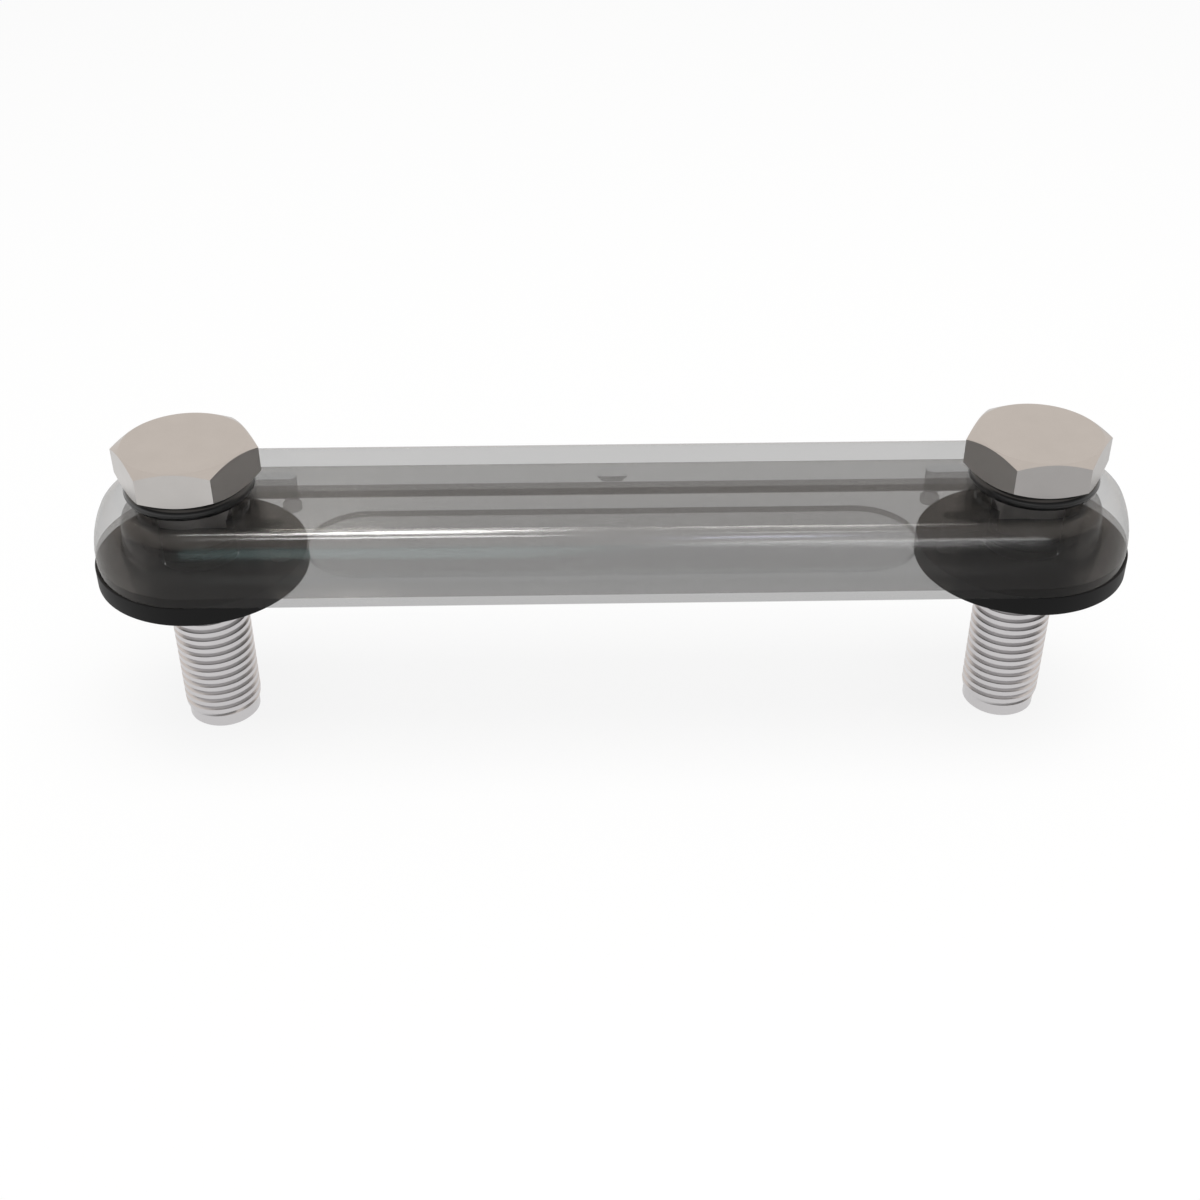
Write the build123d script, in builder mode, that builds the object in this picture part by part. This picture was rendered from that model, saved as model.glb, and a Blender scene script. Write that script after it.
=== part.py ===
from build123d import *

import math
import os

# Hydraulic level gauge for the outside of a tank: a clear lens body and its clear back plate
# hold the liquid column, and two hollow screws clamp them to the wall over flat gaskets.
# X runs along the gauge, Z points from the wall to the viewer, and the origin lies midway
# between the two screws on the wall's face. All sizes are in millimetres.

# Screw positions and the thickness of each layer above the wall
screw_spacing = 127.0
gasket_thickness = 3.25
plate_thickness = 1.6
body_height = 9.05
seal_height = 2.2

# Lens body: rounded ends in plan, flat crown and arched sides in section
body_width = 32.4
end_inset = 0.8
side_arc_radius = 15.7
crown_fillet = 3.3

# Liquid chamber inside the lens body
chamber_width = 24.8
chamber_depth = 7.15
chamber_draft = 8.0
chamber_fillet = 2.6

# Screw bosses with their oil slots, and the guide ribs that end in round posts on feet
bore_clearance = 0.4
boss_wall = 2.0
oil_slot_width = 5.0
oil_slot_height = 4.6
rib_spacing = 14.0
rib_width = 2.2
rib_depth = 3.5
post_distance = 13.6
foot_diameter = 3.0
foot_height = 0.9

# Level mark on the chamber's ceiling at mid-length: a pointer with a stem behind it
mark_width = 4.7
mark_tip_width = 2.8
mark_depth = 0.95
mark_distance = 5.7
mark_thickness = 0.6
stem_width = 3.7
stem_depth = 0.5
stem_length = 2.6

# Back plate: its pad plugs the foot of the chamber, its underside takes the back strip
pad_height = 1.3
pad_clearance = 0.05
recess_width = 17.6
recess_length = 94.0
recess_depth = 1.1
strip_clearance = 0.05

# Hollow screws
across_flats = 19.0
head_height = 5.8
head_face_diameter = 18.6
head_chamfer_angle = 30.0
shank_diameter = 11.0
thread_diameter = 12.0
thread_length = 25.4
tip_diameter = 11.2
tip_length = 2.0
tip_chamfer = 0.4
oil_bore_diameter = 6.0
cross_hole_diameter = 4.5
cross_hole_height = 2.3
bore_overrun = 1.0

# Flat gaskets and O-rings
gasket_margin = 0.1
gasket_inset = 0.3
gasket_clearance = 0.15
ring_diameter = 19.5
ring_section = 2.5

# Heights, widths and places that follow from the sizes above
plate_base = gasket_thickness
body_base = plate_base + plate_thickness
pad_top = body_base + pad_height
crown = body_base + body_height
head_base = crown + seal_height
head_top = head_base + head_height
ceiling = body_base + chamber_depth
screw_x = screw_spacing / 2
end_x = screw_x - end_inset
post_x = screw_x - post_distance
half_width = body_width / 2
pad_side = pad_height * math.tan(math.radians(chamber_draft)) + pad_clearance
pad_width = chamber_width - 2 * pad_side
bore_radius = thread_diameter / 2 + bore_clearance
boss_radius = bore_radius + boss_wall
cross_hole_z = pad_top + cross_hole_height
gasket_diameter = body_width - 2 * gasket_margin

os.makedirs("parts", exist_ok=True)

# Right half of the lens section: flat base, arched side, rounded shoulder and flat crown
with BuildSketch(Plane.YZ) as lens_half:
    shoulder_y = half_width - side_arc_radius + (side_arc_radius**2 - body_height**2) ** 0.5
    with BuildLine():
        base = Line((0, body_base), (half_width, body_base))
        side = RadiusArc(base @ 1, (shoulder_y, crown), -side_arc_radius)
        top = Line(side @ 1, (0, crown))
        Line(top @ 1, base @ 0)
    make_face()
    fillet(lens_half.vertices().group_by(Axis.Y)[-1].sort_by(Axis.X)[-1], radius=crown_fillet)

# Right half of the chamber section: open base, drafted side and rounded ceiling
with BuildSketch(Plane.YZ) as chamber_half:
    with BuildLine():
        base = Line((0, body_base), (chamber_width / 2, body_base))
        side = PolarLine(
            base @ 1,
            chamber_depth,
            90 + chamber_draft,
            length_mode=LengthMode.VERTICAL,
        )
        top = Line(side @ 1, (0, ceiling))
        Line(top @ 1, base @ 0)
    make_face()
    fillet(chamber_half.vertices().group_by(Axis.Y)[-1].sort_by(Axis.X)[-1], radius=chamber_fillet)

# Void of the liquid chamber, with the bosses, ribs, posts and level mark left out of it
with BuildPart() as chamber:
    with BuildSketch(Plane.YZ):
        add(chamber_half.sketch_local)
        mirror(about=Plane.YZ)
    extrude(amount=end_x, both=True)
    with BuildSketch(Plane.YZ.offset(end_x)):
        add(chamber_half.sketch_local)
    revolve(axis=Axis((end_x, 0, 0), (0, 0, -1)), revolution_arc=180)
    mirror(about=Plane.YZ)
    # Screw bosses, from the plate's pad to the ceiling
    with BuildSketch(Plane.XY.offset(pad_top)):
        with Locations((-screw_x, 0), (screw_x, 0)):
            Circle(boss_radius)
    extrude(amount=ceiling - pad_top, mode=Mode.SUBTRACT)
    # Ribs along the ceiling from each boss, as wide as the posts at their round ends
    with BuildSketch(Plane.XY.offset(ceiling)):
        rib_middle = (screw_x + post_x) / 2
        with Locations((-rib_middle, 0), (rib_middle, 0)):
            with GridLocations(0, rib_spacing, 1, 2):
                SlotCenterToCenter(screw_x - post_x, rib_width)
    extrude(amount=-rib_depth, mode=Mode.SUBTRACT)
    # Posts that carry on down to the pad, each on a wider foot
    with BuildSketch(Plane.XY.offset(pad_top)):
        with GridLocations(2 * post_x, rib_spacing, 2, 2):
            Circle(rib_width / 2)
    extrude(amount=ceiling - pad_top, mode=Mode.SUBTRACT)
    with BuildSketch(Plane.XY.offset(pad_top)):
        with GridLocations(2 * post_x, rib_spacing, 2, 2):
            Circle(foot_diameter / 2)
    extrude(amount=foot_height, mode=Mode.SUBTRACT)
    # Level mark: the pointer's tapered face, and the stem from it to the chamber's back wall
    with BuildSketch(Plane.XZ.offset(-mark_distance)):
        with BuildLine():
            Polyline(
                (-mark_width / 2, ceiling),
                (-mark_tip_width / 2, ceiling - mark_depth),
                (mark_tip_width / 2, ceiling - mark_depth),
                (mark_width / 2, ceiling),
                close=True,
            )
        make_face()
    extrude(amount=-mark_thickness, mode=Mode.SUBTRACT)
    with BuildSketch(Plane.XY.offset(ceiling)):
        with Locations((0, mark_distance + mark_thickness + stem_length / 2)):
            Rectangle(stem_width, stem_length)
    extrude(amount=-stem_depth, mode=Mode.SUBTRACT)
    # Oil slots through the inner side of each boss
    with BuildSketch(Plane.XY.offset(pad_top)):
        slot_length = boss_radius + boss_wall
        slot_middle = screw_x - slot_length / 2
        with Locations((-slot_middle, 0), (slot_middle, 0)):
            Rectangle(slot_length, oil_slot_width)
    extrude(amount=oil_slot_height)

with BuildPart() as sight_body:
    with BuildSketch(Plane.YZ):
        add(lens_half.sketch_local)
        mirror(about=Plane.YZ)
    extrude(amount=end_x, both=True)
    with BuildSketch(Plane.YZ.offset(end_x)):
        add(lens_half.sketch_local)
    revolve(axis=Axis((end_x, 0, 0), (0, 0, -1)), revolution_arc=180)
    mirror(about=Plane.YZ)
    add(chamber.part, mode=Mode.SUBTRACT)
    with BuildSketch(Plane.XY.offset(body_base)):
        with Locations((-screw_x, 0), (screw_x, 0)):
            Circle(bore_radius)
    extrude(amount=body_height, mode=Mode.SUBTRACT)

sight_body.part.label = "sight_body"
export_step(sight_body.part, "parts/sight_body.step")

# Back plate, with the pad on its inner side and the recess in its underside
with BuildPart() as back_plate:
    with BuildSketch(Plane.XY.offset(plate_base)):
        SlotCenterToCenter(2 * end_x, body_width)
    extrude(amount=plate_thickness)
    with BuildSketch(Plane.XY.offset(body_base)):
        SlotCenterToCenter(2 * end_x, pad_width)
    extrude(amount=pad_height)
    with BuildSketch(Plane.XY.offset(plate_base)):
        with Locations((-screw_x, 0), (screw_x, 0)):
            Circle(bore_radius)
    extrude(amount=plate_thickness + pad_height, mode=Mode.SUBTRACT)
    with BuildSketch(Plane.XY.offset(plate_base)):
        SlotOverall(recess_length, recess_width)
    extrude(amount=recess_depth, mode=Mode.SUBTRACT)

back_plate.part.label = "back_plate"
export_step(back_plate.part, "parts/back_plate.step")

# Strip that lies in the recess, flush with the plate's underside
with BuildPart() as back_strip:
    with BuildSketch(Plane.XY.offset(plate_base)):
        SlotOverall(recess_length - 2 * strip_clearance, recess_width - 2 * strip_clearance)
    extrude(amount=recess_depth)

back_strip.part.label = "back_strip"
export_step(back_strip.part, "parts/back_strip.step")

# Blank of the screw head: a turned disc with both rims chamfered down to the hexagon's corners
corner_radius = across_flats / 3**0.5
with BuildPart() as head_blank:
    with BuildSketch(Plane.XZ):
        with BuildLine():
            face_radius = head_face_diameter / 2
            lower = PolarLine(
                (face_radius, head_base),
                corner_radius,
                head_chamfer_angle,
                length_mode=LengthMode.HORIZONTAL,
            )
            upper = PolarLine(
                (face_radius, head_top),
                corner_radius,
                -head_chamfer_angle,
                length_mode=LengthMode.HORIZONTAL,
            )
            Line(lower @ 1, upper @ 1)
            Polyline(
                (face_radius, head_top),
                (0, head_top),
                (0, head_base),
                (face_radius, head_base),
            )
        make_face()
    revolve(axis=Axis.Z)

# The hollow screw on its own axis, from the hexagon head to the bare tip
with BuildPart() as hollow_screw:
    with BuildSketch(Plane.XY.offset(head_base)):
        RegularPolygon(corner_radius, 6)
    extrude(amount=head_height)
    add(head_blank.part, mode=Mode.INTERSECT)
    with BuildSketch(Plane.XY):
        Circle(shank_diameter / 2)
    extrude(amount=head_base)
    with BuildSketch(Plane.XY):
        Circle(thread_diameter / 2)
    extrude(amount=-thread_length)
    with BuildSketch(Plane.XY.offset(-thread_length)):
        Circle(tip_diameter / 2)
    extrude(amount=-tip_length)
    chamfer(hollow_screw.edges().group_by(Axis.Z)[0], length=tip_chamfer)
    # Oil bore up the middle, drilled a little past the cross hole inside the chamber
    with BuildSketch(Plane.XY.offset(-thread_length - tip_length)):
        Circle(oil_bore_diameter / 2)
    bore_end = cross_hole_z + cross_hole_diameter / 2 + bore_overrun
    extrude(amount=thread_length + tip_length + bore_end, mode=Mode.SUBTRACT)
    with BuildSketch(Plane.YZ):
        with Locations((0, cross_hole_z)):
            Circle(cross_hole_diameter / 2)
    extrude(amount=shank_diameter, both=True, mode=Mode.SUBTRACT)

with BuildPart() as hollow_screw_left:
    with Locations((-screw_x, 0, 0)):
        add(hollow_screw.part)

hollow_screw_left.part.label = "hollow_screw_left"
export_step(hollow_screw_left.part, "parts/hollow_screw_left.step")

with BuildPart() as hollow_screw_right:
    mirror(hollow_screw_left.part, about=Plane.YZ)

hollow_screw_right.part.label = "hollow_screw_right"
export_step(hollow_screw_right.part, "parts/hollow_screw_right.step")

# O-ring squeezed flat between the crown of the lens and the head's face
with BuildPart() as head_o_ring_left:
    ring_radius = (ring_diameter - ring_section) / 2
    ring_z = crown + seal_height / 2
    with BuildSketch(Plane.XZ):
        with Locations((ring_radius - screw_x, ring_z)):
            Circle(ring_section / 2)
            Rectangle(ring_section, seal_height, mode=Mode.INTERSECT)
    revolve(axis=Axis((-screw_x, 0, 0), (0, 0, 1)))

head_o_ring_left.part.label = "head_o_ring_left"
export_step(head_o_ring_left.part, "parts/head_o_ring_left.step")

with BuildPart() as head_o_ring_right:
    mirror(head_o_ring_left.part, about=Plane.YZ)

head_o_ring_right.part.label = "head_o_ring_right"
export_step(head_o_ring_right.part, "parts/head_o_ring_right.step")

# Flat gasket between the back plate and the wall
with BuildPart() as flat_gasket_left:
    with BuildSketch():
        with Locations((gasket_inset - screw_x, 0)):
            Circle(gasket_diameter / 2)
        with Locations((-screw_x, 0)):
            Circle(thread_diameter / 2 + gasket_clearance, mode=Mode.SUBTRACT)
    extrude(amount=gasket_thickness)

flat_gasket_left.part.label = "flat_gasket_left"
export_step(flat_gasket_left.part, "parts/flat_gasket_left.step")

with BuildPart() as flat_gasket_right:
    mirror(flat_gasket_left.part, about=Plane.YZ)

flat_gasket_right.part.label = "flat_gasket_right"
export_step(flat_gasket_right.part, "parts/flat_gasket_right.step")
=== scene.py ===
import math

import bmesh
import bpy
from mathutils import Matrix, Vector


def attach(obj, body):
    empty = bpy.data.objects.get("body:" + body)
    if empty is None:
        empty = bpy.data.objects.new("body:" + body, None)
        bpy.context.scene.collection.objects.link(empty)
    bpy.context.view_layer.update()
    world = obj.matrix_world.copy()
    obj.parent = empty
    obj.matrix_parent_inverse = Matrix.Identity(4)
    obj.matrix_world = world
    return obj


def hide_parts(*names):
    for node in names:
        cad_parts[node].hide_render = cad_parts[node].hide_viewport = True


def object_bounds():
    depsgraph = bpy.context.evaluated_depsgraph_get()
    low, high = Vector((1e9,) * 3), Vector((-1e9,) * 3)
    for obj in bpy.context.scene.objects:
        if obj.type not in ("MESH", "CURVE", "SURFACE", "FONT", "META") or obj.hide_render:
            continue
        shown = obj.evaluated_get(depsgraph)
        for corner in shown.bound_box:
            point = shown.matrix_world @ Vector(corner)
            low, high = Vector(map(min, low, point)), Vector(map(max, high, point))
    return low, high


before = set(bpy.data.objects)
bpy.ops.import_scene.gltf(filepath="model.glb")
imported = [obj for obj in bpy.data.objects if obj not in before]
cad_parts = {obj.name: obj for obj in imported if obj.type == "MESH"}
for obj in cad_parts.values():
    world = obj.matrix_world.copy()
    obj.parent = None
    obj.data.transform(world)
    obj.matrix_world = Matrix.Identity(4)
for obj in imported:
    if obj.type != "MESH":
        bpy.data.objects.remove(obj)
cadBox = [list(corner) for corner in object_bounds()]
scene = bpy.context.scene
mm = 0.001
screwAxis = 63.5  # from the middle of the gauge to each screw, in millimetres
weldDistance = 0.002 * mm  # points nearer than this become one
planeTolerance = 1e-8
white = (1, 1, 1, 1)


# Node work: a wire is one output socket that takes part in ordinary sums
class Wire:
    def __init__(self, bench, socket):
        self.bench, self.socket = bench, socket

    def other(self, name):
        return Wire(self.bench, self.socket.node.outputs[name])

    def figure(self, operation, first, second=0.0):
        return self.bench.put("ShaderNodeMath", {"operation": operation}, {0: first, 1: second})

    def __add__(self, more):
        return self.figure("ADD", self, more)

    def __radd__(self, more):
        return self.figure("ADD", more, self)

    def __sub__(self, less):
        return self.figure("SUBTRACT", self, less)

    def __rsub__(self, whole):
        return self.figure("SUBTRACT", whole, self)

    def __mul__(self, times):
        return self.figure("MULTIPLY", self, times)

    def __rmul__(self, times):
        return self.figure("MULTIPLY", times, self)

    def __abs__(self):
        return self.figure("ABSOLUTE", self)


class Bench:
    def __init__(self, tree):
        self.tree = tree
        tree.nodes.clear()

    # Settings go in before the sockets, because some of them change which sockets there are
    def put(self, kind, settings=None, sockets=None, output=0):
        node = self.tree.nodes.new(kind)
        for name, value in (settings or {}).items():
            if name == "stops":
                self.setStops(node.color_ramp, value)
            else:
                setattr(node, name, value)
        for name, value in (sockets or {}).items():
            if isinstance(value, Wire):
                self.tree.links.new(value.socket, node.inputs[name])
            else:
                node.inputs[name].default_value = value
        return Wire(self, node.outputs[output]) if node.outputs else None

    def setStops(self, ramp, stops):
        while len(ramp.elements) < len(stops):
            ramp.elements.new(0.5)
        for element, (position, colour) in zip(ramp.elements, stops):
            element.position, element.color = position, colour

    def noise(self, place, scale, detail, roughness):
        return self.put("ShaderNodeTexNoise", None, {
            "Vector": place, "Scale": scale, "Detail": detail, "Roughness": roughness})

    def blend(self, amount, first, second):
        return self.put("ShaderNodeMix", {"data_type": "RGBA"}, {0: amount, 6: first, 7: second}, 2)

    # From 0 where the value is at the first limit to 1 where it is at the last
    def grow(self, value, limits):
        first, last = limits
        return self.put("ShaderNodeMapRange", None, {0: value, 1: first, 2: last})


def newMaterial(name):
    material = bpy.data.materials.new(name)
    material.use_nodes = True
    return material, Bench(material.node_tree)


# Shape work shared by the pieces
def mergedCopy(nodeName):
    shape = bmesh.new()
    shape.from_mesh(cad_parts[nodeName].data)
    bmesh.ops.remove_doubles(shape, verts=shape.verts, dist=weldDistance)
    return shape


def shiftLayer(shape, lowest, highest, lift):
    layer = [v for v in shape.verts if lowest * mm < v.co.z < highest * mm]
    bmesh.ops.translate(shape, verts=layer, vec=(0, 0, lift * mm))


def cutAway(shape, height, way):
    everything = shape.verts[:] + shape.edges[:] + shape.faces[:]
    bmesh.ops.bisect_plane(shape, geom=everything, dist=planeTolerance,
                           plane_co=(0, 0, height * mm), plane_no=(0, 0, way), clear_outer=True)


def bevelSharp(shape, width, segments, above=25.0):
    edges = [e for e in shape.edges if e.is_manifold and e.calc_face_angle() > math.radians(above)]
    bmesh.ops.bevel(shape, geom=edges, offset=width * mm, offset_type="OFFSET", affect="EDGES",
                    segments=segments, profile=0.5, material=-1, clamp_overlap=True)


def finishPiece(shape, name, body, material, stoodFor, creaseAngle=32.0, weighted=False):
    for face in shape.faces:
        face.smooth = True
    for edge in shape.edges:
        edge.smooth = edge.is_manifold and edge.calc_face_angle() < math.radians(creaseAngle)
    mesh = bpy.data.meshes.new(name)
    shape.to_mesh(mesh)
    shape.free()
    piece = bpy.data.objects.new(name, mesh)
    scene.collection.objects.link(piece)
    mesh.materials.append(material)
    if weighted:
        modifier = piece.modifiers.new("evenShading", "WEIGHTED_NORMAL")
        modifier.keep_sharp, modifier.weight = True, 100  # the large faces decide
    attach(piece, body)
    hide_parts(*stoodFor)
    return piece


# Camera at the photograph's viewing angle: degrees for the turns, millimetres for the place and
# the lens, metres for what is near enough and far enough to be drawn
cameraPlan = {
    "azimuth": -1.0044,
    "elevation": 34.5345,
    "roll": -0.1473,
    "aside": -2.0245,
    "above": -5.9778,
    "distance": 258.194,
    "lens": 49.813,
    "sensor": 36,
    "nearest": 0.01,
    "farthest": 20,
}


def placeCamera(plan):
    azimuth, elevation, roll = (math.radians(plan[k]) for k in ("azimuth", "elevation", "roll"))
    level = math.cos(elevation)
    ahead = Vector((-math.sin(azimuth) * level, math.cos(azimuth) * level, -math.sin(elevation)))
    right = Vector((math.cos(azimuth), math.sin(azimuth), 0))
    up = right.cross(ahead)
    aside = right * math.cos(roll) + up * math.sin(roll)
    above = up * math.cos(roll) - right * math.sin(roll)
    data = bpy.data.cameras.new("photoCamera")
    data.sensor_width, data.lens = plan["sensor"], plan["lens"]
    data.clip_start, data.clip_end = plan["nearest"], plan["farthest"]
    camera = bpy.data.objects.new("photoCamera", data)
    scene.collection.objects.link(camera)
    spot = (aside * plan["aside"] + above * plan["above"] - ahead * plan["distance"]) * mm
    turn = Matrix((aside, above, -ahead)).transposed().to_4x4()
    camera.matrix_world = Matrix.Translation(spot) @ turn
    scene.camera = camera


placeCamera(cameraPlan)
print("camera placed")

# Clear plastic: the veil is the share of light that each face keeps, with the rim on top of it at a
# glancing view. The gloss is faint face on (least) and grows towards a glancing view (most)
clearLooks = {
    "clearBody": {"veil": 0.252, "rim": 0.20, "least": 0.029, "most": 0.42, "polish": 0.15},
    "clearPlate": {"veil": 0.300, "rim": 0.0, "least": 0.022, "most": 0.50, "polish": 0.10},
    "clearStrip": {"veil": 0.055, "rim": 0.0, "least": 0.008, "most": 0.50, "polish": 0.10},
}
# What the three have in common. A noise is its scale, detail and roughness
clearSkin = {
    "darkVeil": (0.0035, 0.0038, 0.0040, 1),
    "paleVeil": (0.0055, 0.0058, 0.0060, 1),
    "veilRoughness": 0.4,
    "gloss": (1.0, 0.975, 0.95, 1),
    "flow": (40, 1.0, 0.5),
    "flowRoughness": 0.01,
    "crown": (13.80, 13.89),  # heights between which the flat top begins
    "crownDuller": 0.55,  # it is less polished than the shoulders
}


def clearPlastic(name, look, skin):
    material, bench = newMaterial(name)
    place = bench.put("ShaderNodeTexCoord", output="Object")
    flow = bench.noise(place, *skin["flow"])
    body = bench.put("ShaderNodeBsdfPrincipled", None, {
        "Base Color": bench.blend(flow, skin["darkVeil"], skin["paleVeil"]),
        "Roughness": skin["veilRoughness"],
        "Specular IOR Level": 0.0,
    })
    clear = bench.put("ShaderNodeBsdfTransparent", None, {"Color": white})
    facing = bench.put("ShaderNodeLayerWeight", None, {"Blend": 0.5}, "Facing")
    glance = facing * facing
    kept = look["veil"] + glance * glance * look["rim"]
    veiled = bench.put("ShaderNodeMixShader", None, {0: kept, 1: clear, 2: body})
    gloss = bench.put("ShaderNodeBsdfPrincipled", None, {
        "Base Color": skin["gloss"],
        "Metallic": 1.0,
        "Roughness": look["polish"] + flow * skin["flowRoughness"],
    })
    height = bench.put("ShaderNodeSeparateXYZ", None, {0: place}, "Z")
    crown = bench.grow(height, [limit * mm for limit in skin["crown"]])
    share = (look["least"] + glance * glance * look["most"]) * (1 - crown * skin["crownDuller"])
    mixed = bench.put("ShaderNodeMixShader", None, {0: share, 1: veiled, 2: gloss})
    bench.put("ShaderNodeOutputMaterial", None, {"Surface": mixed})
    return material


clearMaterials = {name: clearPlastic(name, look, clearSkin) for name, look in clearLooks.items()}

# Plated steel with turning marks round each screw's axis
steelLook = {
    "axisX": screwAxis,
    "colour": (0.545, 0.524, 0.507, 1),
    "shade": (0.505, 0.485, 0.468, 1),
    "threadColourWithPaintedLight": (0.60, 0.585, 0.59, 1),  # the thread is painted brighter and cooler than the head, painted light standing in for the brighter reflections it shows
    "threadBelow": 1.0,
    "marks": (5200, 2.0, 0.6),
    "cloud": (260, 3.0, 0.55),
    "speck": (4200, 2.0, 0.6),
    "speckHeight": 0.5,
    "bumpStrength": 0.10,
    "bumpDepth": 0.00005,
    "roughness": 0.22,
    "markRoughness": 0.10,
    "cloudRoughness": 0.08,
}


def platedSteel(look):
    material, bench = newMaterial("platedSteel")
    place = bench.put("ShaderNodeTexCoord", output="Object")
    along = bench.put("ShaderNodeSeparateXYZ", None, {0: place}, "X")
    out = abs(along) - look["axisX"] * mm
    flat = bench.put("ShaderNodeCombineXYZ", None, {0: out, 1: along.other("Y")})
    radius = bench.put("ShaderNodeVectorMath", {"operation": "LENGTH"}, {0: flat}, "Value")
    turned = bench.put("ShaderNodeCombineXYZ", None, {0: radius, 2: along.other("Z")})
    marks = bench.noise(turned, *look["marks"])
    cloud = bench.noise(place, *look["cloud"])
    speck = bench.noise(place, *look["speck"])
    bump = bench.put("ShaderNodeBump", None, {
        "Strength": look["bumpStrength"],
        "Distance": look["bumpDepth"],
        "Height": marks + speck * look["speckHeight"],
    })
    plated = bench.blend(cloud, look["colour"], look["shade"])
    height = along.other("Z")
    # Below the wall's face the thread's colour is painted brighter and cooler, standing in for its
    # brighter reflections
    cut = height.figure("LESS_THAN", height, look["threadBelow"] * mm)
    surface = bench.put("ShaderNodeBsdfPrincipled", None, {
        "Base Color": bench.blend(cut, plated, look["threadColourWithPaintedLight"]),
        "Metallic": 1.0,
        "Roughness": look["roughness"] + marks * look["markRoughness"] + cloud * look["cloudRoughness"],
        "Normal": bump,
    })
    bench.put("ShaderNodeOutputMaterial", None, {"Surface": surface})
    return material


# Rubber with a fine moulded skin. The rings above the body are oiled and glossy, the gaskets matt
rubberLook = {
    "colour": (0.0034, 0.0034, 0.0036, 1),
    "dust": (0.0066, 0.0066, 0.0068, 1),
    "cloud": (180, 3.0, 0.5),
    "grain": (3600, 2.0, 0.6),
    "cloudHeight": 0.5,
    "bumpStrength": 0.06,
    "bumpDepth": 0.00004,
    "roughness": 0.40,
    "cloudRoughness": 0.18,
    "specular": 0.15,
    "oiledAbove": 12.0,
    "oil": 0.9,
    "oilRoughness": 0.10,
}


def blackRubber(look):
    material, bench = newMaterial("blackRubber")
    place = bench.put("ShaderNodeTexCoord", output="Object")
    height = bench.put("ShaderNodeSeparateXYZ", None, {0: place}, "Z")
    oiled = height.figure("GREATER_THAN", height, look["oiledAbove"] * mm)
    cloud = bench.noise(place, *look["cloud"])
    grain = bench.noise(place, *look["grain"])
    bump = bench.put("ShaderNodeBump", None, {
        "Strength": look["bumpStrength"],
        "Distance": look["bumpDepth"],
        "Height": grain + cloud * look["cloudHeight"],
    })
    surface = bench.put("ShaderNodeBsdfPrincipled", None, {
        "Base Color": bench.blend(cloud, look["colour"], look["dust"]),
        "Roughness": look["roughness"] + cloud * look["cloudRoughness"],
        "Specular IOR Level": look["specular"],
        "Coat Weight": oiled * look["oil"],
        "Coat Roughness": look["oilRoughness"],
        "Normal": bump,
    })
    bench.put("ShaderNodeOutputMaterial", None, {"Surface": surface})
    return material


steel = platedSteel(steelLook)
rubber = blackRubber(rubberLook)
print("materials made")

# Clear pieces: hairline gaps keep the faces that meet from lying in each other
clearPlan = {
    "gap": 0.03,
    "plateFoot": 3.25,
    "joint": 4.85,
    "recessRoof": 4.35,
    "nearby": 0.01,
    "overAll": 20,
}


def layClearPieces(plan):
    gap, foot, near, top = (plan[k] for k in ("gap", "plateFoot", "nearby", "overAll"))
    lens = mergedCopy("sight_body")
    plate = mergedCopy("back_plate")
    shiftLayer(plate, plan["joint"] - near, top, -gap)
    shiftLayer(plate, foot - near, foot + near, gap)
    strip = mergedCopy("back_strip")
    shiftLayer(strip, plan["recessRoof"] - near, top, -gap)
    shiftLayer(strip, foot - near, foot + near, gap)
    return [
        finishPiece(lens, "sightBodyClear", "gauge", clearMaterials["clearBody"],
                    ["sight_body"], weighted=True),
        finishPiece(plate, "backPlateClear", "gauge", clearMaterials["clearPlate"],
                    ["back_plate"], weighted=True),
        finishPiece(strip, "backStripClear", "gauge", clearMaterials["clearStrip"],
                    ["back_strip"], weighted=True),
    ]


clearPieces = layClearPieces(clearPlan)
print("clear pieces laid")

# Hollow screws: the turned head and shank, and below the wall's face the cut thread and its tip
screwPlan = {
    "axisX": screwAxis,
    "pitch": 1.5,
    "crestRadius": 6.0,
    "rootRadius": 5.50,
    "crestFlat": 0.72,
    "rootFlat": 0.16,
    "threadLength": 25.4,
    "runOut": 0.9,
    "runOutCurve": 0.7,
    "shankRadius": 5.5,
    "tipRadius": 5.6,
    "tipLength": 2.0,
    "tipChamfer": 0.4,
    "boreRadius": 3.0,
    "mouth": 0.25,
    "cut": 0.5,
    "stepsPerTurn": 64,
    "flatWithin": 0.8,  # degrees up to which the head's faces count as one
    "edgeSoftness": 0.12,
    "edgeSegments": 2,
    "crease": 28.0,
}
rimSlack = {"height": 0.005, "radius": 0.06}  # how far a point may lie from the rim it belongs to


def openRim(shape, height, radius):
    rim = []
    for edge in shape.edges:
        if edge.is_boundary and all(
                abs(v.co.z - height * mm) < rimSlack["height"] * mm
                and abs(v.co.xy.length - radius * mm) < rimSlack["radius"] * mm for v in edge.verts):
            rim.append(edge)
    return rim


def carryRim(shape, rim, radius, height):
    grown = bmesh.ops.extrude_edge_only(shape, edges=rim)["geom"]
    for vert in (g for g in grown if isinstance(g, bmesh.types.BMVert)):
        vert.co.xy = vert.co.xy.normalized() * radius * mm
        vert.co.z = height * mm
    return [g for g in grown if isinstance(g, bmesh.types.BMEdge) and g.is_boundary]


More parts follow.
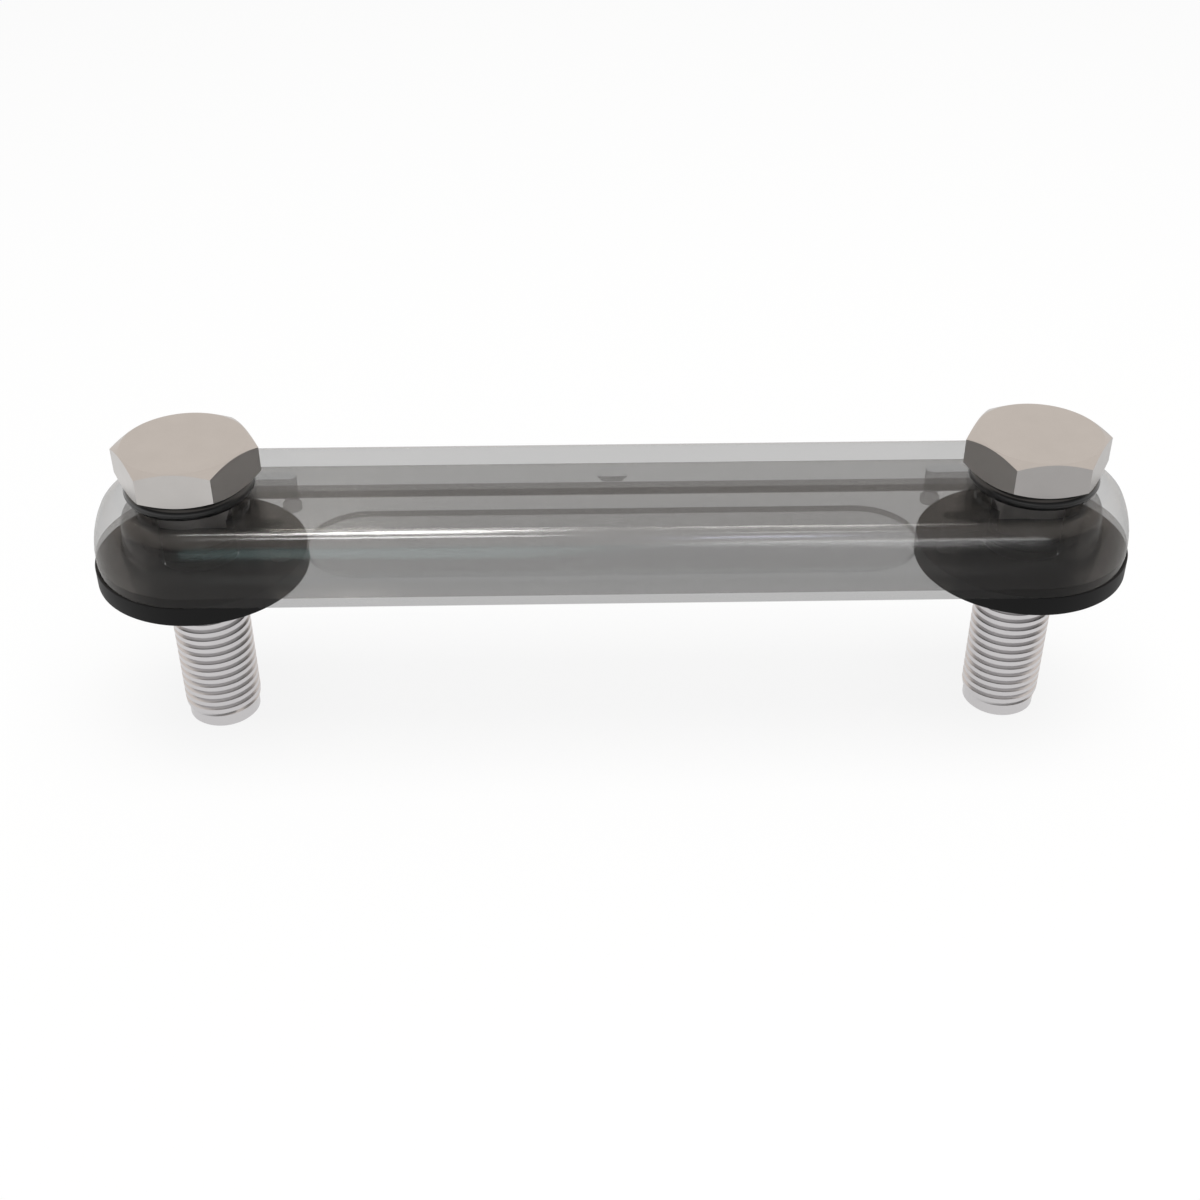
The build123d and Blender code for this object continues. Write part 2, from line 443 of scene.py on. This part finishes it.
def spinThread(plan):
    pitch, steps = plan["pitch"] * mm, plan["stepsPerTurn"]
    turns = math.ceil(plan["threadLength"] / plan["pitch"]) + 3
    flank = (plan["pitch"] - plan["crestFlat"] - plan["rootFlat"]) / 2
    outline = [
        (plan["crestRadius"], 0),
        (plan["crestRadius"], plan["crestFlat"]),
        (plan["rootRadius"], plan["crestFlat"] + flank),
        (plan["rootRadius"], plan["crestFlat"] + flank + plan["rootFlat"]),
        (plan["crestRadius"], plan["pitch"]),
    ]
    shape = bmesh.new()
    start = -plan["threadLength"] - 2 * plan["pitch"]
    verts = [shape.verts.new((r * mm, 0, (start + z) * mm)) for r, z in outline]
    edges = [shape.edges.new(pair) for pair in zip(verts, verts[1:])]
    bmesh.ops.spin(shape, geom=verts + edges, cent=(0, 0, 0), axis=(0, 0, 1),
                   dvec=(0, 0, pitch / steps), angle=2 * math.pi * turns,
                   steps=steps * turns, use_merge=False, use_duplicate=False)
    bmesh.ops.remove_doubles(shape, verts=shape.verts, dist=weldDistance)
    cutAway(shape, -plan["threadLength"], -1)
    cutAway(shape, 0, 1)
    return shape


def cutThread(plan):
    shape = spinThread(plan)
    # The thread runs out into the tip below and the shank above
    for vert in shape.verts:
        depth = -vert.co.z / mm
        nearTop = max(0.0, 1 - depth / plan["runOut"])
        nearTip = max(0.0, 1 - (plan["threadLength"] - depth) / plan["runOut"])
        radius = vert.co.xy.length
        radius += (plan["shankRadius"] * mm - radius) * nearTop ** plan["runOutCurve"]
        radius += (plan["tipRadius"] * mm - radius) * nearTip ** plan["runOutCurve"]
        vert.co.xy = vert.co.xy.normalized() * radius
    rim = openRim(shape, -plan["threadLength"], plan["tipRadius"])
    foot = -plan["threadLength"] - plan["tipLength"]
    for radius, height in (
        (plan["tipRadius"], foot + plan["tipChamfer"]),
        (plan["tipRadius"] - plan["tipChamfer"], foot),
        (plan["boreRadius"] + plan["mouth"], foot),
        (plan["boreRadius"], foot + plan["mouth"]),
        (plan["boreRadius"], 0),
    ):
        rim = carryRim(shape, rim, radius, height)
    return shape


def addShape(shape, more):
    draft = bpy.data.meshes.new("threadDraft")
    more.to_mesh(draft)
    more.free()
    shape.from_mesh(draft)
    bpy.data.meshes.remove(draft)


def makeScrew(side, plan):
    node = "hollow_screw_" + side
    axisX = plan["axisX"] * mm * (-1 if side == "left" else 1)
    shape = mergedCopy(node)
    bmesh.ops.translate(shape, verts=shape.verts, vec=(-axisX, 0, 0))
    cutAway(shape, plan["cut"], -1)
    bmesh.ops.dissolve_limit(shape, angle_limit=math.radians(plan["flatWithin"]),
                             verts=shape.verts, edges=shape.edges, delimit={"NORMAL"})
    bevelSharp(shape, plan["edgeSoftness"], plan["edgeSegments"])
    addShape(shape, cutThread(plan))
    for radius in (plan["shankRadius"], plan["boreRadius"]):
        loops = openRim(shape, plan["cut"], radius) + openRim(shape, 0, radius)
        bmesh.ops.bridge_loops(shape, edges=loops)
    bmesh.ops.recalc_face_normals(shape, faces=shape.faces)
    openEdges = sum(1 for e in shape.edges if not e.is_manifold)
    print("screw", side, "faces", len(shape.faces), "open edges", openEdges)
    bmesh.ops.translate(shape, verts=shape.verts, vec=(axisX, 0, 0))
    return finishPiece(shape, "hollowScrew" + side.capitalize(), "screw_" + side,
                       steel, [node], creaseAngle=plan["crease"], weighted=True)


for side in ("left", "right"):
    makeScrew(side, screwPlan)
print("screws made")

# O-rings under the heads: round rubber squeezed a little flat between body and head
ringPlan = {
    "axisX": screwAxis,
    "middleRadius": 8.5,
    "section": 2.5,
    "height": 2.16,
    "middle": 15.0,
    "segments": 32,
    "steps": 96,
    "crease": 60.0,
}


def makeRing(side, plan):
    axisX = plan["axisX"] * (-1 if side == "left" else 1)
    half = plan["height"] / 2
    shape = bmesh.new()
    centre = Matrix.Translation((plan["middleRadius"] * mm, 0, plan["middle"] * mm))
    section = bmesh.ops.create_circle(shape, segments=plan["segments"], radius=plan["section"] / 2 * mm,
                                      matrix=centre @ Matrix.Rotation(math.pi / 2, 4, "X"))
    for vert in section["verts"]:
        rise = vert.co.z / mm - plan["middle"]
        vert.co.z = (plan["middle"] + max(-half, min(half, rise))) * mm
    bmesh.ops.spin(shape, geom=shape.verts[:] + shape.edges[:], cent=(0, 0, 0), axis=(0, 0, 1),
                   angle=2 * math.pi, steps=plan["steps"], use_merge=True)
    bmesh.ops.remove_doubles(shape, verts=shape.verts, dist=weldDistance)
    bmesh.ops.recalc_face_normals(shape, faces=shape.faces)
    bmesh.ops.translate(shape, verts=shape.verts, vec=(axisX * mm, 0, 0))
    return finishPiece(shape, "headRing" + side.capitalize(), "gauge", rubber,
                       ["head_o_ring_" + side], creaseAngle=plan["crease"])


# Flat gaskets: thick rubber discs whose hole follows the screw, a little off their middle
gasketPlan = {
    "axisX": screwAxis,
    "inset": 0.3,
    "radius": 16.09,
    "holeRadius": 6.15,
    "thickness": 3.25,
    "segments": 128,
    "edgeSoftness": 0.22,
    "edgeSegments": 3,
    "sharpAbove": 60.0,
    "crease": 50.0,
}


def makeGasket(side, plan):
    way = -1 if side == "left" else 1
    shape = bmesh.new()
    rims = ((plan["axisX"] - plan["inset"], plan["radius"]), (plan["axisX"], plan["holeRadius"]))
    for x, radius in rims:
        bmesh.ops.create_circle(shape, segments=plan["segments"], radius=radius * mm,
                                matrix=Matrix.Translation((way * x * mm, 0, 0)))
    bmesh.ops.bridge_loops(shape, edges=shape.edges[:])
    grown = bmesh.ops.extrude_face_region(shape, geom=shape.faces[:])["geom"]
    roof = [g for g in grown if isinstance(g, bmesh.types.BMVert)]
    bmesh.ops.translate(shape, verts=roof, vec=(0, 0, plan["thickness"] * mm))
    bmesh.ops.recalc_face_normals(shape, faces=shape.faces)
    bevelSharp(shape, plan["edgeSoftness"], plan["edgeSegments"], above=plan["sharpAbove"])
    return finishPiece(shape, "flatGasket" + side.capitalize(), "gauge", rubber,
                       ["flat_gasket_" + side], creaseAngle=plan["crease"], weighted=True)


for side in ("left", "right"):
    makeRing(side, ringPlan)
    makeGasket(side, gasketPlan)
print("rubber made")

# Studio: white surroundings for the eye, for metal and for glass, with a softer fill for the rest.
# Each pair of limits is where a change begins and where it is full
studioPlan = {
    "fill": 0.55,
    # What gloss sees in front of the object by height: a dark wall, and over it the warm ceiling
    "frontRoom": [
        (0.00, (0.30, 0.30, 0.30, 1)),
        (0.12, (0.30, 0.30, 0.30, 1)),
        (0.16, (0.06, 0.06, 0.062, 1)),
        (0.38, (0.08, 0.08, 0.082, 1)),
        (0.52, (0.97, 0.90, 0.84, 1)),
    ],
    "frontLimits": (0.10, -0.20),
    "ceiling": (0.97, 0.90, 0.84, 1),
    "floorSize": 3.0,
    "floorColour": (0.8, 0.8, 0.8, 1),
    "floorGlow": 0.86,
    # What gloss sees of the floor: dimmer past the right end and in front of it, dark far in front.
    # The limits are in metres
    "dimEnd": (0.78, 0.78, 0.78, 1),
    "endLimits": (0.09, 0.13),
    "dimSide": (0.60, 0.60, 0.61, 1),
    "rightLimits": (0.0, 0.08),
    "aheadLimits": (-0.035, -0.07),
    "farFloor": (0.30, 0.30, 0.30, 1),
    "farLimits": (-0.22, -0.60),
}


def eyeRays(bench):
    rays = bench.put("ShaderNodeLightPath", output="Is Camera Ray")
    seen = rays + rays.other("Is Glossy Ray") + rays.other("Is Transmission Ray")
    return seen.figure("MINIMUM", seen, 1.0)


def setWorld(plan):
    world = bpy.data.worlds.new("studio")
    scene.world = world
    world.use_nodes = True
    bench = Bench(world.node_tree)
    strength = plan["fill"] + eyeRays(bench) * (1 - plan["fill"])
    mirrored = bench.put("ShaderNodeLightPath", output="Is Glossy Ray")
    way = bench.put("ShaderNodeTexCoord", output="Generated")
    height = bench.put("ShaderNodeSeparateXYZ", None, {0: way}, "Z")
    front = bench.grow(height.other("Y"), plan["frontLimits"])
    wall = bench.put("ShaderNodeValToRGB", {"stops": plan["frontRoom"]}, {0: height})
    colour = bench.blend(mirrored, white, bench.blend(front, plan["ceiling"], wall))
    sky = bench.put("ShaderNodeBackground", None, {"Color": colour, "Strength": strength})
    bench.put("ShaderNodeOutputWorld", None, {"Surface": sky})


def paleFloor(plan):
    material, bench = newMaterial("paleFloor")
    cloth = bench.put("ShaderNodeBsdfDiffuse", None, {"Color": plan["floorColour"]})
    mirrored = bench.put("ShaderNodeLightPath", output="Is Glossy Ray")
    place = bench.put("ShaderNodeTexCoord", output="Object")
    aside = bench.put("ShaderNodeSeparateXYZ", None, {0: place}, "X")
    right = bench.grow(aside, plan["rightLimits"])
    ahead = bench.grow(aside.other("Y"), plan["aheadLimits"])
    far = bench.grow(aside.other("Y"), plan["farLimits"])
    beyond = bench.grow(aside, plan["endLimits"])
    side = bench.blend(mirrored * beyond, white, plan["dimEnd"])
    near = bench.blend(mirrored * right * ahead, side, plan["dimSide"])
    glow = bench.put("ShaderNodeEmission", None, {
        "Color": bench.blend(mirrored * far, near, plan["farFloor"]), "Strength": 1.0})
    mixed = bench.put("ShaderNodeMixShader", None, {
        0: eyeRays(bench) * plan["floorGlow"], 1: cloth, 2: glow})
    # From below, the eye looks through the floor at the underside
    under = bench.put("ShaderNodeNewGeometry", output="Backfacing")
    eye = bench.put("ShaderNodeLightPath", output="Is Camera Ray")
    gone = bench.put("ShaderNodeBsdfTransparent", None, {"Color": white})
    mixed = bench.put("ShaderNodeMixShader", None, {0: under * eye, 1: mixed, 2: gone})
    bench.put("ShaderNodeOutputMaterial", None, {"Surface": mixed})
    return material


def layFloor(plan):
    shape = bmesh.new()
    bmesh.ops.create_grid(shape, x_segments=1, y_segments=1, size=plan["floorSize"] / 2,
                          matrix=Matrix.Translation((0, 0, cadBox[0][2])))
    mesh = bpy.data.meshes.new("floor")
    shape.to_mesh(mesh)
    shape.free()
    floor = bpy.data.objects.new("floor", mesh)
    scene.collection.objects.link(floor)
    mesh.materials.append(paleFloor(plan))


# Lamps are given by the two ends of their middle line, in metres. The softbox lights the object,
# and the windows show only as the bright lines on the clear plastic
lampPlans = {
    "topSoftbox": {
        "ends": ((-0.30, -0.10, 0.75), (0.40, -0.10, 0.75)),
        "width": 0.5, "glow": 5.0, "colour": (1, 0.99, 0.97), "window": False,
    },
    "leftWindow": {
        "ends": ((-0.169, 0.268, 0.752), (-0.055, 0.231, 0.775)),
        "width": 0.22, "glow": 30, "colour": (1, 1, 1), "window": True,
    },
    "leftWindowEnd": {
        "ends": ((-0.207, 0.280, 0.742), (-0.161, 0.239, 0.764)),
        "width": 0.20, "glow": 10, "colour": (1, 1, 1), "window": True,
    },
    "leftEdge": {
        "ends": ((-0.240, 0.590, 0.510), (-0.214, 0.568, 0.541)),
        "width": 0.25, "glow": 14, "colour": (1, 0.97, 0.88), "window": True,
    },
    "leftUpper": {
        "ends": ((-0.132, 0.495, 0.625), (-0.020, 0.455, 0.664)),
        "width": 0.17, "glow": 8, "colour": (1, 1, 1), "window": True,
    },
    "leftThin": {
        "ends": ((-0.195, -0.155, 0.787), (-0.035, -0.137, 0.804)),
        "width": 0.12, "glow": 15, "colour": (0.97, 0.98, 1), "window": True,
    },
    "rightThin": {
        "ends": ((0.105, 0.351, 0.722), (0.160, 0.428, 0.669)),
        "width": 0.16, "glow": 11, "colour": (1, 0.99, 0.98), "window": True,
    },
    "rightFaint": {
        "ends": ((0.113, -0.121, 0.801), (0.165, -0.076, 0.800)),
        "width": 0.11, "glow": 4, "colour": (0.95, 0.95, 1), "window": True,
    },
    "blueWindow": {
        "ends": ((0.075, -0.414, 0.703), (0.149, -0.420, 0.692)),
        "width": 0.22, "glow": 8, "colour": (0.74, 0.76, 1), "window": True,
    },
    "rightBroad": {
        "ends": ((0.072, -0.700, 0.400), (0.281, -0.712, 0.322)),
        "width": 0.24, "glow": 5.6, "colour": (0.95, 0.97, 1), "window": True,
    },
    "tealLow": {
        "ends": ((-0.250, -0.742, 0.288), (-0.009, -0.785, 0.227)),
        "width": 0.17, "glow": 2.3, "colour": (0.66, 0.97, 0.98), "window": True,
    },
}


def hangLamps(plans, glossyPieces):
    shown = bpy.data.collections.new("glossyPieces")
    for piece in glossyPieces:
        shown.objects.link(piece)
    for name, plan in plans.items():
        first, last = (Vector(end) for end in plan["ends"])
        middle = (first + last) / 2
        long = (last - first).normalized()
        back = (middle - long * middle.dot(long)).normalized()
        data = bpy.data.lights.new(name, "AREA")
        data.shape, data.size, data.size_y = "RECTANGLE", (last - first).length, plan["width"]
        data.energy = plan["glow"] * math.pi * data.size * data.size_y
        data.color = plan["colour"]
        lamp = bpy.data.objects.new(name, data)
        scene.collection.objects.link(lamp)
        turn = Matrix((long, back.cross(long), back)).transposed().to_4x4()
        lamp.matrix_world = Matrix.Translation(middle) @ turn
        lamp.visible_glossy = plan["window"]
        lamp.visible_diffuse = not plan["window"]
        if plan["window"]:
            lamp.light_linking.receiver_collection = shown


setWorld(studioPlan)
layFloor(studioPlan)
hangLamps(lampPlans, clearPieces)
scene.cycles.transparent_max_bounces = 32  # a ray may cross more than ten clear faces
scene.view_settings.view_transform = "Standard"
print("studio set")
